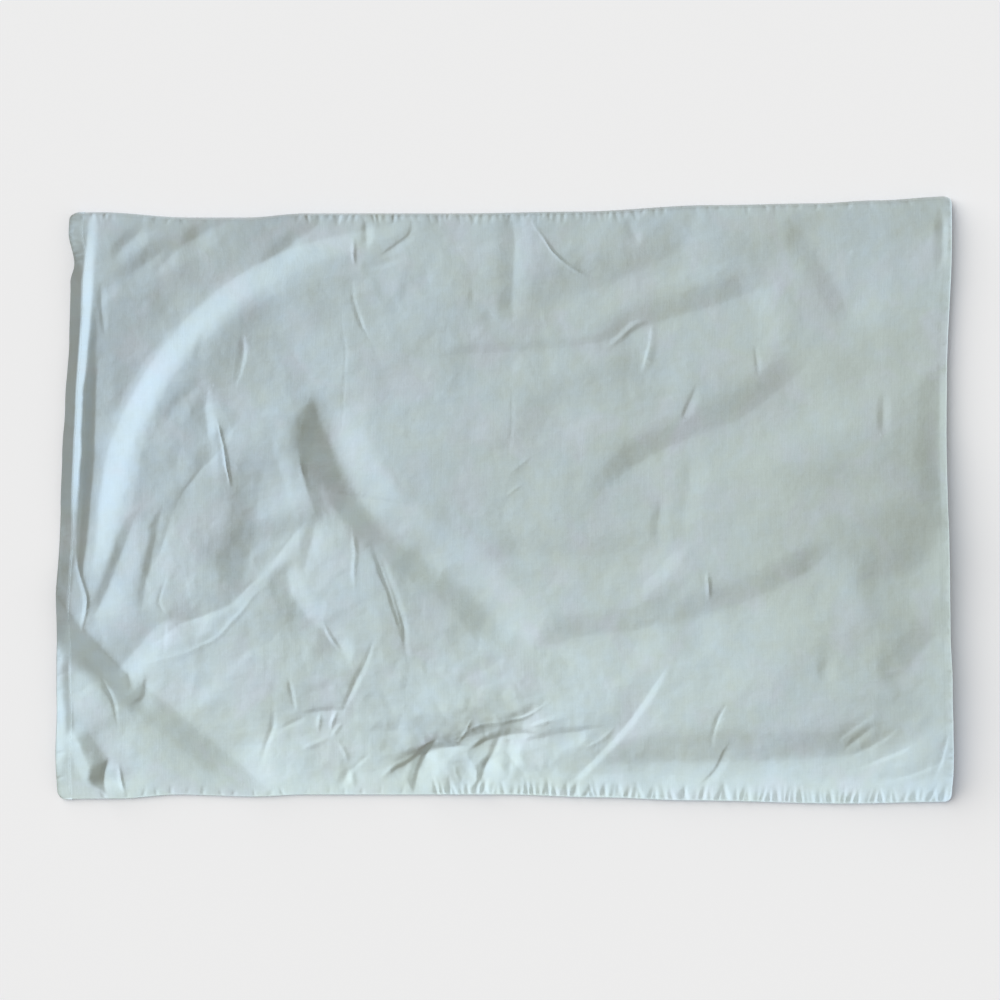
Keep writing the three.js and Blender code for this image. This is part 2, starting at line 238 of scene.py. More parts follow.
# Creases between the main folds, in the same columns
CREASES = [
    ("corner rib 1", 1.9, 9, 12, 0.1, [(-336, 196), (-320, 214), (-300, 236)]),
    ("corner rib 2", 2.2, 13, 14, 0, [(-348, 174), (-320, 186), (-294, 204), (-268, 228)]),
    ("corner rib 3", 2.1, 9, 12, 0.1, [(-296, 186), (-276, 209), (-250, 227), (-220, 240)]),
    ("arch shoulder", 2.2, 10, 13, 0, [(-212, 194), (-178, 215), (-148, 238)]),
    ("hem facet", 1.2, 3, 5, 0.3, [(-336, 138), (-339, 160), (-341, 186)]),
    ("short upright", 1.2, 2.5, 5, 0.6, [(-221, 144), (-221, 118), (-227, 94)]),
    ("foot crease", 0.8, 12, 6, 0.2, [(-246, 154), (-256, 128), (-263, 108)]),
    ("inner arch", 0.9, 8, 12, 0.2, [(-294, 58), (-270, 84), (-250, 108)]),
    ("pale strip", 2.2, 7, 18, 0.2, [(-247, 102), (-252, 70), (-250, 40), (-242, 10)]),
    ("black crease", -2.0, 2.2, 2.2, 0.8, [(-244, 72), (-238, 46), (-234, 26), (-230, 6)]),
    ("knuckle nose", 3.8, 36, 15, 0.3,
     [(-361, -179), (-353, -193), (-343, -209), (-335, -223), (-336, -240), (-341, -272)]),
    ("slant crease", 0.4, 2.5, 3, 0.8, [(-304, -76), (-290, -38), (-274, 2), (-248, 36), (-208, 88)]),
    ("white line", 0.6, 1.6, 2.2, 0.7, [(-286, -62), (-288, -76), (-289, -90), (-281, -102)]),
    ("facet cross", 0.6, 2.5, 3, 0.6, [(-286, -98), (-288, -132)]),
    ("facet foot", -0.6, 3, 3, 0.6,
     [(-324, -144), (-288, -133), (-250, -121), (-226, -98), (-203, -73), (-180, -48)]),
    ("facet crest", 0.4, 3, 3, 0.7,
     [(-328, -142), (-290, -115), (-262, -100), (-235, -90), (-208, -66), (-188, -45), (-158, -2)]),
    ("hem tuck", -2.0, 2.5, 3, 0.6, [(-359, -40), (-357, -64), (-352, -82), (-351, -98), (-354, -114)]),
    ("corner thread", 1.1, 3, 2, 0.6, [(-343, -136), (-336, -156), (-330, -174), (-325, -194)]),
    ("corner hook", 2.2, 14, 4, 0.5, [(-298, -144), (-299, -158), (-304, -169), (-320, -178)]),
    ("corner knob", 1.8, 6, 3, 0.3, [(-314, -144), (-313, -155), (-316, -165)]),
    ("knuckle gleam", 5.0, 13, 3, 0.3, [(-335, -217), (-337, -230), (-338, -243), (-337, -258)]),
    ("knuckle line", -1.8, 2, 3, 0.6, [(-327, -220), (-324, -236), (-322, -252)]),
    ("pocket lip", 1.0, 7, 14, 0.1, [(-204, 64), (-192, 36), (-184, 10), (-180, -10)]),
    ("pocket crease", -1.4, 3.5, 3.5, 0.4, [(-166, 80), (-172, 52), (-171, 28), (-165, 2)]),
    ("wedge strip", 1.2, 9, 7, 0.1, [(-159, -10), (-163, -40), (-171, -66)]),
    ("bend crease", -1.2, 3, 3, 0.6, [(-129, -20), (-127, -50), (-124, -78)]),
    ("double crease", 1.9, 8, 1.9, 0.6, [(-114, -30), (-102, -62), (-94, -90), (-87, -120)]),
    ("double tail", 1.0, 5, 1.6, 0.7, [(-108, -34), (-97, -66), (-89, -96), (-80, -146)]),
    ("plateau line", -1.2, 2.5, 2.5, 0.6, [(-151, -101), (-144, -116), (-136, -129)]),
    ("bright branch", 1.5, 3.5, 4, 0.5, [(-109, -115), (-122, -147), (-131, -166), (-142, -186)]),
    ("branch left", 1.2, 3.5, 4, 0.5, [(-195, -170), (-198, -195), (-202, -212), (-209, -228)]),
    ("branch middle", 1.1, 3, 3, 0.5, [(-182, -148), (-179, -165), (-174, -181)]),
    ("low line", 1.3, 3.5, 8, 0.4, [(-177, -181), (-150, -177), (-126, -178)]),
    ("low wall", 2.0, 10, 18, 0.1, [(-134, -192), (-96, -194), (-62, -192), (-34, -188)]),
    ("crumple 1", -1.4, 2.5, 2.5, 0.5, [(-142, -176), (-147, -198)]),
    ("crumple 2", -1.2, 2.5, 2.5, 0.5, [(-137, -188), (-147, -201)]),
    ("crumple 3", -0.8, 2.5, 2.5, 0.5, [(-155, -178), (-157, -198)]),
    ("crumple 4", 0.9, 3, 3, 0.5, [(-194, -194), (-178, -187), (-163, -181)]),
    ("crumple 5", -0.9, 3, 3, 0.5, [(-146, -198), (-160, -206), (-174, -214)]),
    ("crumple 6", -0.9, 3, 3, 0.5, [(-143, -201), (-135, -214), (-131, -224)]),
    ("crumple 7", 0.9, 3, 3, 0.5, [(-130, -231), (-122, -222), (-113, -214)]),
    ("edge facet 1", 1.6, 5, 6, 0.2, [(-126, -224), (-136, -240), (-140, -250)]),
    ("edge facet 2", -1.5, 4, 4, 0.3, [(-129, -226), (-126, -246)]),
    ("bottom line 1", -1.4, 3, 3, 0.5, [(-112, -246), (-99, -230), (-80, -216), (-56, -207), (-30, -200)]),
    ("bottom line 2", -1.6, 2, 2, 0.7, [(-52, -204), (-30, -194), (0, -187), (20, -180), (42, -163)]),
    ("bottom tick 1", -0.9, 2.5, 2.5, 0.5, [(-42, -220), (-36, -242)]),
    ("bottom tick 2", -1.6, 4, 4, 0.4, [(-24, -226), (-20, -249)]),
    ("crush 1", 1.6, 4, 4, 0.3, [(-3, -190), (-8, -204), (-14, -218)]),
    ("crush 2", -1.2, 2.5, 2.5, 0.5, [(-12, -196), (-2, -200), (8, -199)]),
    ("crush 3", 1.6, 6, 6, 0.2, [(2, -202), (5, -218), (6, -234)]),
    ("crush face 1", 4.4, 3, 22, 0.4, [(-90, -226), (-68, -212), (-48, -206), (-28, -206)]),
    ("crush face 2", 4.2, 3, 24, 0.4, [(-34, -212), (-14, -201), (8, -196), (30, -197)]),
    ("crush face 3", 4.2, 3, 15, 0.4, [(-26, -264), (-23, -244), (-18, -226), (-10, -206)]),
    ("crush face 4", 5.6, 3, 20, 0.3, [(-76, -258), (-74, -234), (-67, -216), (-54, -198)]),
    ("crush line", -1.2, 1.8, 1.8, 0.6, [(-42, -204), (-35, -196), (-29, -184)]),
    ("shelf line", 2.0, 4, 14, 0.4, [(8, -206), (45, -197), (90, -189)]),
    ("shelf line 2", -0.8, 2.5, 2.5, 0.5, [(18, -190), (42, -186)]),
    ("pleat line", -1.0, 3, 3, 0.5, [(66, -212), (80, -203), (94, -189)]),
    ("lower branch 1", 0.9, 1.8, 3.5, 0.6, [(189, -166), (178, -190), (171, -214)]),
    ("lower branch 2", 1.1, 7, 1.7, 0.6, [(195, -200), (182, -218), (171, -230), (158, -243)]),
    ("fan 1", 1.0, 3, 8, 0.3, [(312, -178), (291, -193), (276, -206)]),
    ("fan 2", 1.1, 4, 3, 0.5, [(316, -184), (297, -200), (281, -213)]),
    ("fan 3", 1.3, 3, 7, 0.4, [(350, -200), (322, -214), (292, -228)]),
    ("fan 4", 1.4, 3, 8, 0.4, [(372, -216), (340, -230), (300, -242)]),
    ("fan 5", 1.0, 2.5, 5, 0.5, [(334, -188), (312, -204), (288, -218)]),
    ("fan 6", 1.2, 2, 5, 0.5, [(372, -192), (366, -216), (356, -240)]),
    ("end upright", 1.2, 7, 5, 0.2, [(320, 94), (318, 70), (317, 46)]),
    ("end slot", 1.6, 4, 6, 0.3, [(368, 250), (367, 216), (366, 178)]),
    ("thin upright", 1.2, 4, 2, 0.5, [(209, 132), (211, 116), (212, 100)]),
    ("middle tick", 1.2, 2.5, 6, 0.5, [(149, 62), (155, 80), (163, 100)]),
    ("lower upright", 0.7, 9, 7, 0.1, [(268, -106), (270, -135), (261, -162)]),
    ("right notch", -1.2, 2, 3, 0.5, [(172, -58), (173, -72), (170, -90)]),
    ("top slot", -1.3, 2.5, 2.5, 0.6, [(-128, 224), (-128, 196)]),
    ("top tab", 1.4, 6, 5, 0.2, [(-119, 240), (-117, 208)]),
    ("top thread", 0.9, 2.5, 3, 0.5, [(-132, 193), (-128, 172), (-124, 158), (-112, 130)]),
    ("top hook", 1.3, 6, 2, 0.5, [(-83, 246), (-80, 228), (-92, 215), (-110, 203)]),
    ("top bar", 0.5, 6, 4, 0.3, [(-127, 196), (-105, 199), (-82, 204)]),
    ("top blot 1", 0.7, 5, 7, 0.5, [(-69, 202), (-64, 186), (-66, 170)]),
    ("top blot 2", 0.5, 5, 5, 0.5, [(-26, 192), (-29, 162)]),
    ("pressed line 1", 0.3, 1.8, 1.8, 0.6, [(-138, 172), (-136, 110), (-136, 44)]),
    ("pressed line 2", 0.25, 1.8, 1.8, 0.6, [(6, 112), (5, 65), (3, 18)]),
    ("hook pinch", -1.2, 4, 4, 0.4, [(84, 126), (97, 136), (108, 145), (122, 150)]),
    ("hook wall", -1.3, 6, 2, 0.6, [(121, 150), (122, 138), (120, 124), (112, 104)]),
    ("top bow", -1.3, 2, 2, 0.8, [(18, 244), (27, 227), (42, 208), (58, 195), (82, 184)]),
    ("top tick", 1.2, 6, 6, 0.2, [(105, 240), (112, 214)]),
    ("slash 1", -0.3, 2, 2, 0.6, [(-4, 18), (10, 28), (24, 40)]),
    ("slash 2", -0.3, 2, 2, 0.6, [(-4, 2), (17, 15)]),
    ("streak", 0.8, 8, 6, 0.1, [(127, 8), (131, -20), (127, -54)]),
    ("second streak", 1.0, 8, 10, 0.1, [(153, 34), (154, 6), (150, -28)]),
    ("bright strip", 2.2, 26, 12, 0.1, [(104, -84), (120, -64), (137, -46), (152, -26)]),
]

# Runs of small puckers where the sewing draws the cloth in:
# side, from, to, closest and widest spacing, shortest and longest reach, rise
PUCKERS = [
    ("top", -370, -335, 4, 8, 8, 14, 1.2),
    ("top", -330, -190, 9, 22, 6, 12, 0.9),
    ("top", -185, 135, 4, 9, 8, 15, 1.3),
    ("top", 140, 345, 8, 18, 6, 12, 0.9),
    ("bottom", -340, -70, 9, 20, 7, 13, 1.0),
    ("bottom", -60, 110, 3, 7, 12, 20, 2.3),
    ("bottom", 110, 372, 3, 8, 12, 21, 2.4),
    ("end", -246, -205, 5, 9, 6, 11, 0.9),
    ("end", -190, 190, 14, 30, 5, 9, 0.6),
    ("end", 205, 246, 5, 9, 6, 11, 0.9),
    ("mouth", -246, -205, 6, 11, 8, 12, 0.9),
    ("mouth", -165, -130, 9, 14, 8, 12, 0.9),
    ("mouth", 205, 244, 4, 8, 8, 13, 1.1),
]

# Low swells of plain cloth that nothing presses flat: length, width, turn in degrees, height, seed
SWELLS = [
    (95, 34, 24, 0.75, 3),
    (44, 22, 12, 0.3, 5),
]

# Small flat facets between soft edges, as crumpled cotton has: size, turn in degrees, height, seed
FACETS = [
    (52, 10, 0.80, 31),
    (25, 40, 0.50, 32),
    (12, 75, 0.30, 33),
    (6, 20, 0.15, 34),
]

# Where the cloth is more or less crumpled than elsewhere: place across, place up, reach, share added
CRUMPLED = [
    (-260, 0, 150, 0.5),
    (-120, -210, 110, 0.9),
    (-12, -222, 60, 3.0),
    (90, -215, 80, 0.5),
    (-20, 200, 90, 0.35),
    (300, -215, 80, 0.5),
    (260, 20, 160, -0.35),
]


def smooth(share):
    """Eases a share from nought to one."""
    share = np.clip(share, 0, 1)
    return share * share * (3 - 2 * share)


def edge_out(rows, along):
    """Distance out of the plain rectangle at places along an edge."""
    places = np.array(rows, float)
    leg = np.clip(np.searchsorted(places[:, 0], along, side="right") - 1, 0, len(rows) - 2)
    start, stop = places[leg], places[leg + 1]
    share = smooth((along - start[:, 0]) / (stop[:, 0] - start[:, 0]))
    return start[:, 1] + (stop[:, 1] - start[:, 1]) * share


def lay_flat(flat_x, flat_y):
    """Where points of the flat rectangle lie on the floor, with its corners rounded."""
    across = np.clip(1 - (LENGTH / 2 - np.abs(flat_x)) / CORNER_ROUND, 0, 1)
    up = np.clip(1 - (WIDTH / 2 - np.abs(flat_y)) / CORNER_ROUND, 0, 1)
    shift_x = across * (1 - np.sqrt(1 - up * up / 2)) * CORNER_ROUND
    shift_y = up * (1 - np.sqrt(1 - across * across / 2)) * CORNER_ROUND
    x = flat_x - np.sign(flat_x) * shift_x
    y = flat_y - np.sign(flat_y) * shift_y
    u = x / LENGTH + 0.5
    v = y / WIDTH + 0.5
    out_x = u * edge_out(END_EDGE, y) - (1 - u) * edge_out(MOUTH_EDGE, y)
    out_y = v * edge_out(TOP_EDGE, x) - (1 - v) * edge_out(BOTTOM_EDGE, x)
    return x + out_x, y + out_y


def curved_path(points):
    """A smooth cubic line through a fold's points, as short straight steps."""
    stops = np.array([points[0], *points, points[-1]], float)
    share = np.linspace(0, 1, PATH_STEPS, endpoint=False)[:, None]
    legs = []
    for before, start, stop, after in zip(stops, stops[1:], stops[2:], stops[3:]):
        bend = (2 * before - 5 * start + 4 * stop - after) * share ** 2
        twist = (3 * start - before - 3 * stop + after) * share ** 3
        legs.append(0.5 * (2 * start + (stop - before) * share + bend + twist))
    return np.concatenate([*legs, stops[-1:]])


def add_fold(height, x, y, fold, fade_share, spread):
    """Adds one ridge or trough to the heights: soft across its path, faded and narrower at its ends."""
    _, rise, left, right, sharp, points = fold
    path = curved_path(points)
    steps = np.diff(path, axis=0)
    lengths = np.hypot(steps[:, 0], steps[:, 1])
    passed = np.concatenate([[0], np.cumsum(lengths)])
    reach = FOLD_REACH * max(left, right)
    low = path.min(0) - reach
    high = path.max(0) + reach
    near = (x > low[0]) & (x < high[0]) & (y > low[1]) & (y < high[1])
    near_x, near_y = x[near], y[near]
    nearest = np.full(near_x.shape, np.inf)
    side = np.zeros(near_x.shape)
    along = np.zeros(near_x.shape)
    for start, step, length, before in zip(path, steps, lengths, passed):
        run_x, run_y = step / length
        off_x, off_y = near_x - start[0], near_y - start[1]
        run = np.clip(off_x * run_x + off_y * run_y, 0, length)
        gap = (off_x - run * run_x) ** 2 + (off_y - run * run_y) ** 2
        closer = gap < nearest
        nearest[closer] = gap[closer]
        side[closer] = (run_x * off_y - run_y * off_x)[closer]
        along[closer] = before + run[closer]
    share = along / passed[-1]
    fade = smooth(np.minimum(share, 1 - share) / fade_share)
    width = np.where(side > 0, left, right) * (END_WIDTH + (1 - END_WIDTH) * fade) * spread
    crest = CREST_ROUND * (1 - sharp)
    fall = np.sqrt(nearest / width ** 2 + crest ** 2) - crest
    across = FOOT_ROUND * np.logaddexp(0, (1 - fall) / FOOT_ROUND)
    height[near] += rise * across * fade


def uneven_knots(seed):
    """A square of knots at uneven heights between -1 and 1."""
    return np.random.default_rng(seed).uniform(-1, 1, (KNOTS, KNOTS))


def turned(x, y, degrees):
    """Places along and across a direction that is turned from the x axis."""
    cosine, sine = math.cos(math.radians(degrees)), math.sin(math.radians(degrees))
    return x * cosine + y * sine, y * cosine - x * sine


def swell(x, y, length, width, turn, seed):
    """Smooth uneven swells between -1 and 1, longer one way than the other."""
    knots = uneven_knots(seed)
    along, across = turned(x, y, turn)
    u = along / length + KNOTS / 2
    v = across / width + KNOTS / 2
    column, row = np.floor(u).astype(int), np.floor(v).astype(int)
    share_u, share_v = smooth(u - column), smooth(v - row)
    column, row, next_column, next_row = (k % KNOTS for k in (column, row, column + 1, row + 1))
    low = knots[column, row] * (1 - share_u) + knots[next_column, row] * share_u
    high = knots[column, next_row] * (1 - share_u) + knots[next_column, next_row] * share_u
    return low * (1 - share_v) + high * share_v


def facet(x, y, size, turn, seed):
    """Flat three-cornered facets with bent edges, between knots at heights between -1 and 1."""
    knots = uneven_knots(seed)
    bend = FACET_BEND * size
    length = FACET_BEND_LENGTH * size
    seed_x, seed_y = (seed + added for added in FACET_BEND_SEEDS)
    bent_x = x + bend * swell(x, y, length, length, turn, seed_x)
    bent_y = y + bend * swell(x, y, length, length, turn + FACET_BEND_TURN, seed_y)
    along, across = turned(bent_x, bent_y, turn)
    v = across / size
    u = along / size + 0.5 * v
    column, row = np.floor(u).astype(int), np.floor(v).astype(int)
    share_u, share_v = u - column, v - row
    first, last = np.maximum(share_u, share_v), np.minimum(share_u, share_v)
    sideways = (share_u > share_v).astype(int)
    near = knots[column % KNOTS, row % KNOTS]
    middle = knots[(column + sideways) % KNOTS, (row + 1 - sideways) % KNOTS]
    far = knots[(column + 1) % KNOTS, (row + 1) % KNOTS]
    return near * (1 - first) + middle * (first - last) + far * last


def crumpled(x, y):
    """How crumpled the cloth is at a place, 1 being usual."""
    share = np.ones(x.shape)
    for place_x, place_y, reach, added in CRUMPLED:
        share += added * np.exp(-((x - place_x) ** 2 + (y - place_y) ** 2) / reach ** 2)
    return share


def fold_height(x, y):
    """Height that folds, creases, swells and facets add to the front panel."""
    lift = np.zeros(x.shape)
    for fold in FOLDS:
        add_fold(lift, x, y, fold, FOLD_FADE, FOLD_SPREAD)
    waver_x, waver_y = (swell(x, y, WAVER_LENGTH, WAVER_LENGTH, 0, seed) for seed in WAVER_SEEDS)
    wavering_x = x + CREASE_WAVER * waver_x
    wavering_y = y + CREASE_WAVER * waver_y
    creases = np.zeros(x.shape)
    for crease in CREASES:
        add_fold(creases, wavering_x, wavering_y, crease, CREASE_FADE, CREASE_SPREAD)
    lift += creases * (1 + CREASE_CHANGE * swell(x, y, *CREASE_SWELL))
    for length, width, turn, height, seed in SWELLS:
        lift += height * swell(x, y, length, width, turn, seed)
    rough = crumpled(x, y)
    for size, turn, height, seed in FACETS:
        lift += rough * height * facet(x, y, size, turn, seed)
    return lift


def from_edges(flat_x, flat_y):
    """Distances of places on the flat panel from its four edges."""
    return {
        "top": WIDTH / 2 - flat_y,
        "bottom": WIDTH / 2 + flat_y,
        "end": LENGTH / 2 - flat_x,
        "mouth": LENGTH / 2 + flat_x,
    }


def make_puckers():
    """Every pucker of the seams: side, place along it, half width, reach, rise, lean."""
    chance = np.random.default_rng(PUCKER_SEED)
    made = []
    for side, start, stop, close, wide, short, long, rise in PUCKERS:
        place = start + chance.uniform(0, wide)
        while place < stop:
            half = chance.uniform(*PUCKER_HALF_WIDTH)
            reach = chance.uniform(short, long)
            lift = rise * chance.uniform(*PUCKER_RISE_SHARE)
            lean = chance.uniform(-PUCKER_LEAN, PUCKER_LEAN)
            made.append((side, place, half, reach, lift, lean))
            place += chance.uniform(close, wide)
    return made


puckers = make_puckers()


def pucker_height(flat_x, flat_y):
    """Height that the seams' puckers add."""
    height = np.zeros(flat_x.shape)
    from_seam = from_edges(flat_x, flat_y)
    along_seam = {"top": flat_x, "bottom": flat_x, "end": flat_y, "mouth": flat_y}
    for side, place, half, reach, lift, lean in puckers:
        away, along = from_seam[side], along_seam[side]
        near = (away < reach) & (np.abs(along - place) < PUCKER_SPREAD * half + reach)
        away, along = away[near], along[near]
        offset = (along - place - lean * away) / half
        growth = PUCKER_AT_SEAM + (1 - PUCKER_AT_SEAM) * smooth(away / PUCKER_GROWTH)
        fade = smooth(1 - away / reach) * growth
        height[near] += lift * np.exp(-offset ** 2) * fade
    return height


def rounded(distance, radius):
    """Quarter round that starts upright at an edge."""
    share = np.clip(distance / radius, 0, 1)
    return np.sqrt(1 - (1 - share) ** 2)


def sewn_edge(away, radius):
    """Quarter rounds along the three seams, as a share of their height."""
    return rounded(away["top"], radius) * rounded(away["bottom"], radius) * rounded(away["end"], radius)


def stand_off(away):
    """Share of its loft to which the front panel rises from the three seams."""
    share = np.ones(away["top"].shape)
    for side, (steep_width, steep_share, gentle_width) in RISES.items():
        steep = np.sin(np.clip(away[side] / steep_width, 0, 1) * math.pi / 2)
        gentle = np.sin(np.clip(away[side] / gentle_width, 0, 1) * math.pi / 2)
        share *= steep_share * steep + (1 - steep_share) * gentle
    return share


def lies_double(distance, depth):
    """Share of a step in height where the cloth lies double, from an edge to some depth."""
    return smooth((depth + STEP_RUN / 2 - distance) / STEP_RUN)


def front_height(flat_x, flat_y, x, y):
    """Height of the front panel's outer face."""
    away = from_edges(flat_x, flat_y)
    groove = GROOVE_DEPTH * np.exp(-((away["mouth"] - HEM_DEPTH) / GROOVE_WIDTH) ** 2)
    hem = HEM_STEP * lies_double(away["mouth"], HEM_DEPTH) - groove
    seam_step = SEAM_STEP * lies_double(away["end"], SEAM_ALLOWANCE)
    edge = sewn_edge(away, FRONT_ROUND)
    sewn = SEAM_LINE + edge * (FRONT_ROUND + pucker_height(flat_x, flat_y) + seam_step)
    return sewn + stand_off(away) * (LOFT - SEAM_LINE - FRONT_ROUND + fold_height(x, y) + hem)


def back_height(flat_x, flat_y):
    """Height of the back panel's outer face, which lies on the floor."""
    edge = sewn_edge(from_edges(flat_x, flat_y), BACK_ROUND)
    ease = BACK_EASE + BACK_CHANGE * swell(flat_x, flat_y, *BACK_SWELL)
    seam = SEAM_LINE - SEAM_GAP
    return seam - edge * (seam - ease) + BACK_PUCKERS * edge * pucker_height(flat_x, flat_y)


def turn_hem(along_cloth, flat_y):
    """Bends the cloth's end under itself: distance from the mouth, and drop of the turned part."""
    angle = np.clip(along_cloth / HEM_BEND, -math.pi / 2, math.pi / 2)
    past = np.maximum(np.abs(along_cloth) - HEM_BEND * math.pi / 2, 0)
    from_mouth = HEM_BEND * (1 - np.cos(angle)) + past
    drop = HEM_BEND * (1 - np.sin(angle))
    from_seam = WIDTH / 2 - np.abs(flat_y)
    return from_mouth, drop * smooth(from_seam / HEM_CAUGHT)


def lay_front(along_cloth, flat_y):
    """Places of the front panel's outer face, hem included."""
    from_mouth, drop = turn_hem(along_cloth, flat_y)
    flat_x = from_mouth - LENGTH / 2
    x, y = lay_flat(flat_x, flat_y)
    z = front_height(flat_x, flat_y, x, y) - drop
    return np.stack([x, y, z], -1)


def lay_back(along_cloth, flat_y):
    """Places of the back panel's outer face, hem included."""
    from_mouth, rise = turn_hem(along_cloth, flat_y)
    flat_x = from_mouth - LENGTH / 2
    x, y = lay_flat(flat_x, flat_y)
    z = back_height(flat_x, flat_y) + rise
    return np.stack([x, y, z], -1)


def graded(start, zones):
    """Places along a side, from zones of equal cells: width, cells."""
    places = [start]
    for width, cells in zones:
        begin = places[-1]
        places.extend(begin + width * (i + 1) / cells for i in range(cells))
    return np.array(places)


def thin_out(cloth, triangles, group=""):
    """Merges the flattest faces of a cloth, or of one of its groups, until so many triangles are left."""
    cloth.data.calc_loop_triangles()
    fewer = cloth.modifiers.new("fewer faces", "DECIMATE")
    fewer.ratio = triangles / len(cloth.data.loop_triangles)
    fewer.vertex_group = group
    bpy.ops.object.modifier_apply(modifier=fewer.name)


def in_plain_part(points):
    """Which places, in metres, are away from the hem and the seams."""
    across, up = np.abs(points[:, 0]), np.abs(points[:, 1])
    return (across < (LENGTH / 2 - 2 * HEM_DEPTH) * MM) & (up < (WIDTH / 2 - HEM_DEPTH) * MM)


def unfold(mesh):
    """Evens out corners of the plain cloth that are folded over or lean oddly among their neighbours."""
    edges = np.zeros(2 * len(mesh.edges), int)
    mesh.edges.foreach_get("vertices", edges)
    start, stop = edges.reshape(-1, 2).T
    count = np.bincount(edges, minlength=len(mesh.vertices))[:, None]

    def mean_of_neighbours(values):
        total = np.zeros(values.shape)
        np.add.at(total, start, values[stop])
        np.add.at(total, stop, values[start])
        return total / count

    for _ in range(UNFOLD_ROUNDS):
        points = np.array([v.co for v in mesh.vertices])
        leans = np.array([v.normal for v in mesh.vertices])
        moved = np.linalg.norm(leans - mean_of_neighbours(leans), axis=1) > ODD_LEAN
        for face in mesh.polygons:
            if face.normal.z < LEAST_UPRIGHT:
                moved[list(face.vertices)] = True
        moved &= in_plain_part(points)
        points[moved] = mean_of_neighbours(points)[moved]
        mesh.vertices.foreach_set("co", points.ravel())
        mesh.update()


def make_cloth(name, along, across, lay, face_down, outer_triangles=0, all_triangles=0):
    """One panel: a grid laid as the cloth lies, then given its thickness on the inside, above the floor."""
    columns = graded(-HEM_DEPTH, along)
    rows = graded(-WIDTH / 2, across)
    bpy.ops.object.select_all(action="DESELECT")
    bpy.ops.mesh.primitive_grid_add(x_subdivisions=len(columns) - 1, y_subdivisions=len(rows) - 1, size=1)
    cloth = bpy.context.object
    cloth.name = name
    mesh = cloth.data
    mesh.name = name
    along_cloth, flat_y = (grid.ravel() for grid in np.meshgrid(columns, rows))
    mesh.vertices.foreach_set("co", (lay(along_cloth, flat_y) * MM).ravel())
    corner = np.zeros(len(mesh.loops), int)
    mesh.loops.foreach_get("vertex_index", corner)
    flat = np.stack([along_cloth, flat_y], -1)[corner] * MM
    mesh.uv_layers.active.data.foreach_set("uv", flat.ravel())
    if face_down:
        mesh.flip_normals()
    mesh.update()
    if outer_triangles:
        thin_out(cloth, outer_triangles)
        unfold(mesh)
    cloth.vertex_groups.new(name="inner_face")
    thickness = cloth.modifiers.new("thickness", "SOLIDIFY")
    thickness.thickness = CLOTH * MM
    thickness.offset = -1
    thickness.shell_vertex_group = "inner_face"
    bpy.ops.object.modifier_apply(modifier=thickness.name)
    if all_triangles:
        thin_out(cloth, all_triangles, "inner_face")
    if face_down:
        for point in mesh.vertices:
            point.co.z = max(point.co.z, 0)
    bpy.ops.object.shade_smooth()
    return cloth


front_cloth = make_cloth(
    "front_cloth", FRONT_ALONG, FRONT_ACROSS, lay_front, face_down=False,
    outer_triangles=FRONT_FACE_TRIANGLES, all_triangles=FRONT_TRIANGLES,
)
back_cloth = make_cloth("back_cloth", BACK_ALONG, BACK_ACROSS, lay_back, face_down=True)


class Shade:
    """A shader socket that takes part in sums as a number does."""

    def __init__(self, tree, socket=None):
        self.tree = tree
        self.socket = socket

    def feed(self, node, sockets):
        """Gives the sockets of a node their values or links."""
        for name, value in sockets.items():
            if isinstance(value, Shade):
                self.tree.links.new(value.socket, node.inputs[name])
            else:
                node.inputs[name].default_value = value

    def node(self, kind, settings=None, sockets=None, output=0):
        """Adds a node with its settings, then the values or links of its sockets."""
        made = self.tree.nodes.new(kind)
        for name, value in (settings or {}).items():
            setattr(made, name, value)
        self.feed(made, sockets or {})
        return Shade(self.tree, made.outputs[output])

    def noise(self, place, scale, detail, distortion=0.0):
        sockets = {"Vector": place, "Scale": scale, "Detail": detail, "Distortion": distortion}
        return self.node("ShaderNodeTexNoise", sockets=sockets)

    def mix(self, share, first, second):
        return self.node("ShaderNodeMix", {"data_type": "RGBA"}, {0: share, 6: first, 7: second}, 2)

    def math(self, operation, first, second=0.0):
        return self.node("ShaderNodeMath", {"operation": operation}, {0: first, 1: second})

    def __add__(self, other):
        return self.math("ADD", self, other)

    __radd__ = __add__

    def __sub__(self, other):
        return self.math("SUBTRACT", self, other)

    def __rsub__(self, other):
        return self.math("SUBTRACT", other, self)

    def __mul__(self, other):
        return self.math("MULTIPLY", self, other)

    __rmul__ = __mul__

    def __abs__(self):
        return self.math("ABSOLUTE", self)

    def sine(self):
        return self.math("SINE", self)


def new_material(name):
    """A material with its principled shader, and a wrapper to build on."""
    material = bpy.data.materials.new(name)
    material.use_nodes = True
    shader = material.node_tree.nodes["Principled BSDF"]
    return material, shader, Shade(material.node_tree)


# Surface of the cotton: pitch of its threads, patterns in features a metre, heights in millimetres
THREAD_PITCH_M = 0.00052
SLUBS_DOWN = (820, 26, 1)
SLUBS_ALONG = (26, 820, 1)
SLUB_DOWN_SHARE = 0.6
CRUMPLES = 160
PATCHES = 14
MOTTLES = 70
BLOTCHES = 24
WEAVE_HEIGHT = 0.05
SLUB_HEIGHT = 0.16
CRUMPLE_HEIGHT = 0.40
COTTON_ROUGH = 0.8
SLUB_ROUGH = 0.14

# Tones of the cotton, with painted light and shade in them: a painted cool blue towards the mouth, a darker
# painted shade green towards the end, a lilac, and the turn from the blue to the green: at the mouth, along
# it, across it, to its sides
PAINTED_COOL_BLUE = (0.470, 0.561, 0.624, 1)
PAINTED_SHADE_GREEN = (0.468, 0.526, 0.492, 1)
PALE_LILAC = (0.505, 0.545, 0.583, 1)
SHADE_TINT_AT_MOUTH = 0.22
SHADE_TINT_ALONG = (1.55, 0.7)
SHADE_TINT_ACROSS = (1.5, 0.8)
SHADE_TINT_TO_SIDES = (7, 20)
PATCH_GREEN = 0.9
MOTTLE_GREEN = 0.8
BLOTCH_LILAC = 3.0
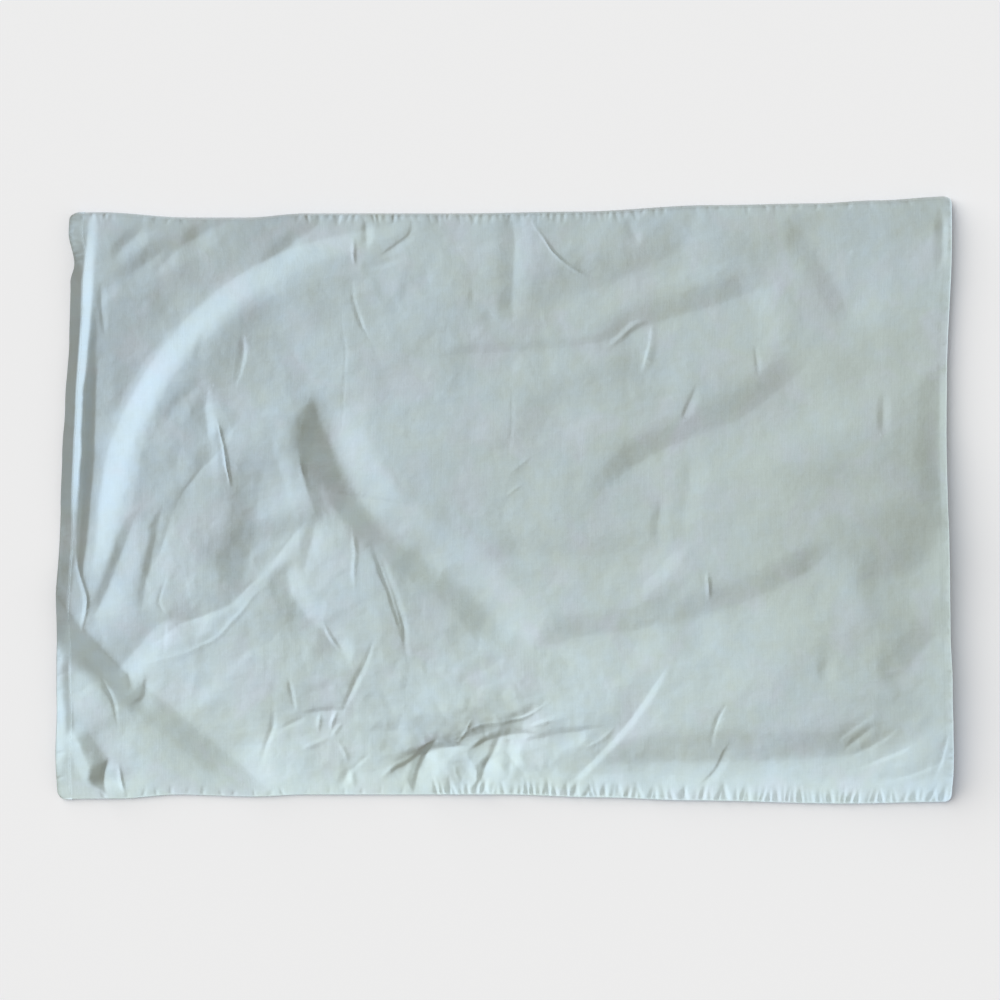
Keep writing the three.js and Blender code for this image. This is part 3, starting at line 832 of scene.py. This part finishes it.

# Brightness of the tones: plain, added by slubs, by patches, painted light added in the end's corners, and
# painted shade taken off at the end
PLAIN_BRIGHT = 0.9
SLUB_BRIGHT = 0.12
PATCH_BRIGHT = 0.08
PAINTED_CORNER_LIGHT = 2.4
PAINTED_END_SHADE = 0.06


def cotton(name):
    """Plain-woven cotton: crossing threads, uneven slubs, faint creasing, random tone, and painted light and
    shade: bluer towards the mouth, greener and darker towards the end, lighter in the end's corners.
    """
    material, shader, build = new_material(name)
    flat = build.node("ShaderNodeTexCoord", output="UV")
    place = build.node("ShaderNodeSeparateXYZ", sockets={0: flat}).socket.node
    along = Shade(build.tree, place.outputs["X"])
    across = Shade(build.tree, place.outputs["Y"])
    warp = (along * (math.pi / THREAD_PITCH_M)).sine()
    weft = (across * (math.pi / THREAD_PITCH_M)).sine()
    over = warp * weft * 0.5
    weave = abs(warp) * (0.5 + over) + abs(weft) * (0.5 - over)
    stretch_down = build.node("ShaderNodeMapping", sockets={"Vector": flat, "Scale": SLUBS_DOWN})
    stretch_along = build.node("ShaderNodeMapping", sockets={"Vector": flat, "Scale": SLUBS_ALONG})
    slub_down = build.noise(stretch_down, 1, detail=2)
    slub_along = build.noise(stretch_along, 1, detail=2)
    slub = slub_down * SLUB_DOWN_SHARE + slub_along * (1 - SLUB_DOWN_SHARE)
    crumple = build.noise(flat, CRUMPLES, detail=4)
    patch = build.noise(flat, PATCHES, detail=3)
    mottle = build.noise(flat, MOTTLES, detail=2)
    blotch = build.noise(flat, BLOTCHES, detail=3, distortion=0.6)
    # Painted light and shade: the cloth turns from a painted cool blue at the mouth to a darker painted
    # shade green towards the end and sides; patches and mottles add random tone
    shade_tint_along = along * (SHADE_TINT_ALONG[0] - along * SHADE_TINT_ALONG[1])
    shade_tint_across = across * (along * SHADE_TINT_ACROSS[0] - SHADE_TINT_ACROSS[1])
    shade_tint_to_sides = across * across * (SHADE_TINT_TO_SIDES[0] - along * SHADE_TINT_TO_SIDES[1])
    shade_tint_and_tone = SHADE_TINT_AT_MOUTH + shade_tint_along + shade_tint_across + shade_tint_to_sides
    shade_tint_and_tone = shade_tint_and_tone + (patch - 0.5) * PATCH_GREEN + (mottle - 0.5) * MOTTLE_GREEN
    tone = build.mix(shade_tint_and_tone, PAINTED_COOL_BLUE, PAINTED_SHADE_GREEN)
    tone = build.mix((blotch - 0.5) * BLOTCH_LILAC, tone, PALE_LILAC)
    # Painted light in the end's corners and painted shade along the end
    painted_end_light_and_shade = along * (across * across * PAINTED_CORNER_LIGHT - PAINTED_END_SHADE)
    bright = PLAIN_BRIGHT + slub * SLUB_BRIGHT + patch * PATCH_BRIGHT + painted_end_light_and_shade
    height = weave * WEAVE_HEIGHT + slub * SLUB_HEIGHT + crumple * CRUMPLE_HEIGHT
    build.feed(shader, {
        "Base Color": build.node("ShaderNodeVectorMath", {"operation": "SCALE"}, {0: tone, "Scale": bright}),
        "Roughness": COTTON_ROUGH + slub * SLUB_ROUGH,
        "Normal": build.node("ShaderNodeBump", sockets={"Height": height, "Distance": MM, "Strength": 0.8}),
        "Specular IOR Level": 0.25,
        "Sheen Weight": 0.25,
        "Sheen Roughness": 0.45,
    })
    return material


THREAD_DARK = (0.44, 0.50, 0.50, 1)
THREAD_PALE = (0.62, 0.68, 0.68, 1)
THREAD_FUZZ = 1400
FUZZ_HEIGHT_M = 0.0001


def sewing_thread(name):
    """Twisted sewing thread, a little paler than the cloth."""
    material, shader, build = new_material(name)
    place = build.node("ShaderNodeTexCoord", output="Object")
    fuzz = build.noise(place, THREAD_FUZZ, detail=2)
    build.feed(shader, {
        "Base Color": build.mix(fuzz, THREAD_DARK, THREAD_PALE),
        "Roughness": 0.7,
        "Normal": build.node(
            "ShaderNodeBump", sockets={"Height": fuzz, "Distance": FUZZ_HEIGHT_M, "Strength": 0.6}),
    })
    return material


front_cloth.data.materials.append(cotton("front cotton"))
back_cloth.data.materials.append(cotton("back cotton"))
thread_finish = sewing_thread("sewing thread")

# Stitches that hold each hem, one row right across the sham, and how far they stand out of the cloth
STITCH_STEP = 3.0
STITCH_LENGTH = 2.3
STITCH_HALF = 0.22
STITCH_WANDER = 0.12
STITCH_SEED = 4
ROW_MARGIN = 5
FRONT_STITCH_OUT = 0.1
BACK_STITCH_OUT = -0.2


def make_stitches(name, lay, outward, stand_out):
    """A row of stitches along a hem: one is modelled, and its copies lie on the cloth."""
    bpy.ops.object.select_all(action="DESELECT")
    bpy.ops.mesh.primitive_uv_sphere_add(segments=6, ring_count=5, radius=1)
    row = bpy.context.object
    row.name = name
    stitch = row.data
    stitch.name = name + "_one"
    ball = np.array([v.co for v in stitch.vertices])
    points = ball[:, [2, 0, 1]] * (STITCH_LENGTH / 2, STITCH_HALF, STITCH_HALF)
    faces = [tuple(f.vertices) for f in stitch.polygons]
    places = np.arange(-WIDTH / 2 + ROW_MARGIN, WIDTH / 2 - ROW_MARGIN, STITCH_STEP)
    wander = np.random.default_rng(STITCH_SEED).normal(0, STITCH_WANDER, len(places))
    ends = [lay(HEM_DEPTH + wander, places + end) for end in (-STITCH_LENGTH / 2, STITCH_LENGTH / 2)]
    middle = (ends[0] + ends[1]) / 2
    run = ends[1] - ends[0]
    run /= np.linalg.norm(run, axis=1, keepdims=True)
    up = np.tile((0.0, 0.0, outward), (len(places), 1))
    side = np.cross(up, run)
    side /= np.linalg.norm(side, axis=1, keepdims=True)
    up = np.cross(run, side)
    all_points = (
        middle[:, None] + up[:, None] * stand_out
        + points[None, :, 0, None] * run[:, None]
        + points[None, :, 1, None] * side[:, None]
        + points[None, :, 2, None] * up[:, None]
    )
    all_faces = [[i + k * len(points) for i in f] for k in range(len(places)) for f in faces]
    mesh = bpy.data.meshes.new(name)
    mesh.from_pydata((all_points.reshape(-1, 3) * MM).tolist(), [], all_faces)
    row.data = mesh
    bpy.data.meshes.remove(stitch)
    bpy.ops.object.shade_smooth()
    mesh.materials.append(thread_finish)
    return row


front_stitches = make_stitches("front_hem_stitches", lay_front, 1.0, FRONT_STITCH_OUT)
back_stitches = make_stitches("back_hem_stitches", lay_back, -1.0, BACK_STITCH_OUT)

for piece in (front_cloth, back_cloth, front_stitches, back_stitches):
    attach(piece, "root")
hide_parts("front_panel")
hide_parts("back_panel")

# Pale floor
FLOOR_SIZE_M = 8
bpy.ops.object.select_all(action="DESELECT")
bpy.ops.mesh.primitive_plane_add(size=FLOOR_SIZE_M)
floor = bpy.context.object
floor.name = "floor"
floor_finish, floor_shader, floor_build = new_material("pale floor")
floor_build.feed(floor_shader, {
    "Base Color": (0.80, 0.85, 0.975, 1),
    "Roughness": 0.9,
    "Specular IOR Level": 0.1,
})
floor.data.materials.append(floor_finish)

# Light of the room: warm all round and on the floor, cool on the sham from the right and from the lower edge
WARM = (1.0, 0.94, 0.82)
WINDOW_COOL = (0.78, 0.87, 1.0)
LAMP_COOL = (0.80, 0.92, 1.0)
LOW_LAMP_PLACE_M = (-0.03, -1.08, 0.48)


def add_sun(name, azimuth, elevation, strength, softness, colour):
    """A broad even light from a direction, in degrees."""
    lamp = bpy.data.lights.new(name, "SUN")
    lamp.energy = strength
    lamp.angle = math.radians(softness)
    lamp.color = colour
    light = bpy.data.objects.new(name, lamp)
    light.rotation_euler = (math.radians(90 - elevation), 0, math.radians(azimuth + 90))
    bpy.context.scene.collection.objects.link(light)
    return light


def add_low_lamp(name, place, strength, size, colour):
    """A square lamp beyond the lower edge, turned to face the middle of the sham."""
    lamp = bpy.data.lights.new(name, "AREA")
    lamp.energy = strength
    lamp.size = size
    lamp.color = colour
    light = bpy.data.objects.new(name, lamp)
    light.location = place
    light.rotation_euler = (math.atan2(-place[1], place[2]), 0, 0)
    bpy.context.scene.collection.objects.link(light)
    return light


def light_only(lights, pieces, name):
    """Lets lights fall on some pieces alone."""
    group = bpy.data.collections.new(name)
    for piece in pieces:
        group.objects.link(piece)
    for light in lights:
        light.light_linking.receiver_collection = group


world = bpy.data.worlds.new("room light")
world.use_nodes = True
world.node_tree.nodes["Background"].inputs["Color"].default_value = (*WARM, 1)
world.node_tree.nodes["Background"].inputs["Strength"].default_value = 0.475
bpy.context.scene.world = world
bpy.context.scene.view_settings.view_transform = "Standard"
window = add_sun("window light", azimuth=4, elevation=26, strength=3.3, softness=12, colour=WINDOW_COOL)
low_lamp = add_low_lamp("low lamp", LOW_LAMP_PLACE_M, strength=6.9, size=0.5, colour=LAMP_COOL)
floor_light = add_sun("floor light", azimuth=140, elevation=28, strength=3.85, softness=70, colour=WARM)
light_only((window, low_lamp), (front_cloth, back_cloth, front_stitches, back_stitches), "lit sham")
light_only((floor_light,), (floor,), "lit floor")

# Camera straight above, with the photograph's framing: the frame's width, centre and height over the floor
FRAME_WIDTH = 845
FRAME_CENTRE = -4.2
FRAME_HEIGHT = 4
lens = bpy.data.cameras.new("camera")
lens.lens = 90
lens.sensor_width = 36
camera = bpy.data.objects.new("camera", lens)
camera.location = (FRAME_CENTRE * MM, 0, (FRAME_WIDTH * lens.lens / lens.sensor_width + FRAME_HEIGHT) * MM)
bpy.context.scene.collection.objects.link(camera)
bpy.context.scene.camera = camera
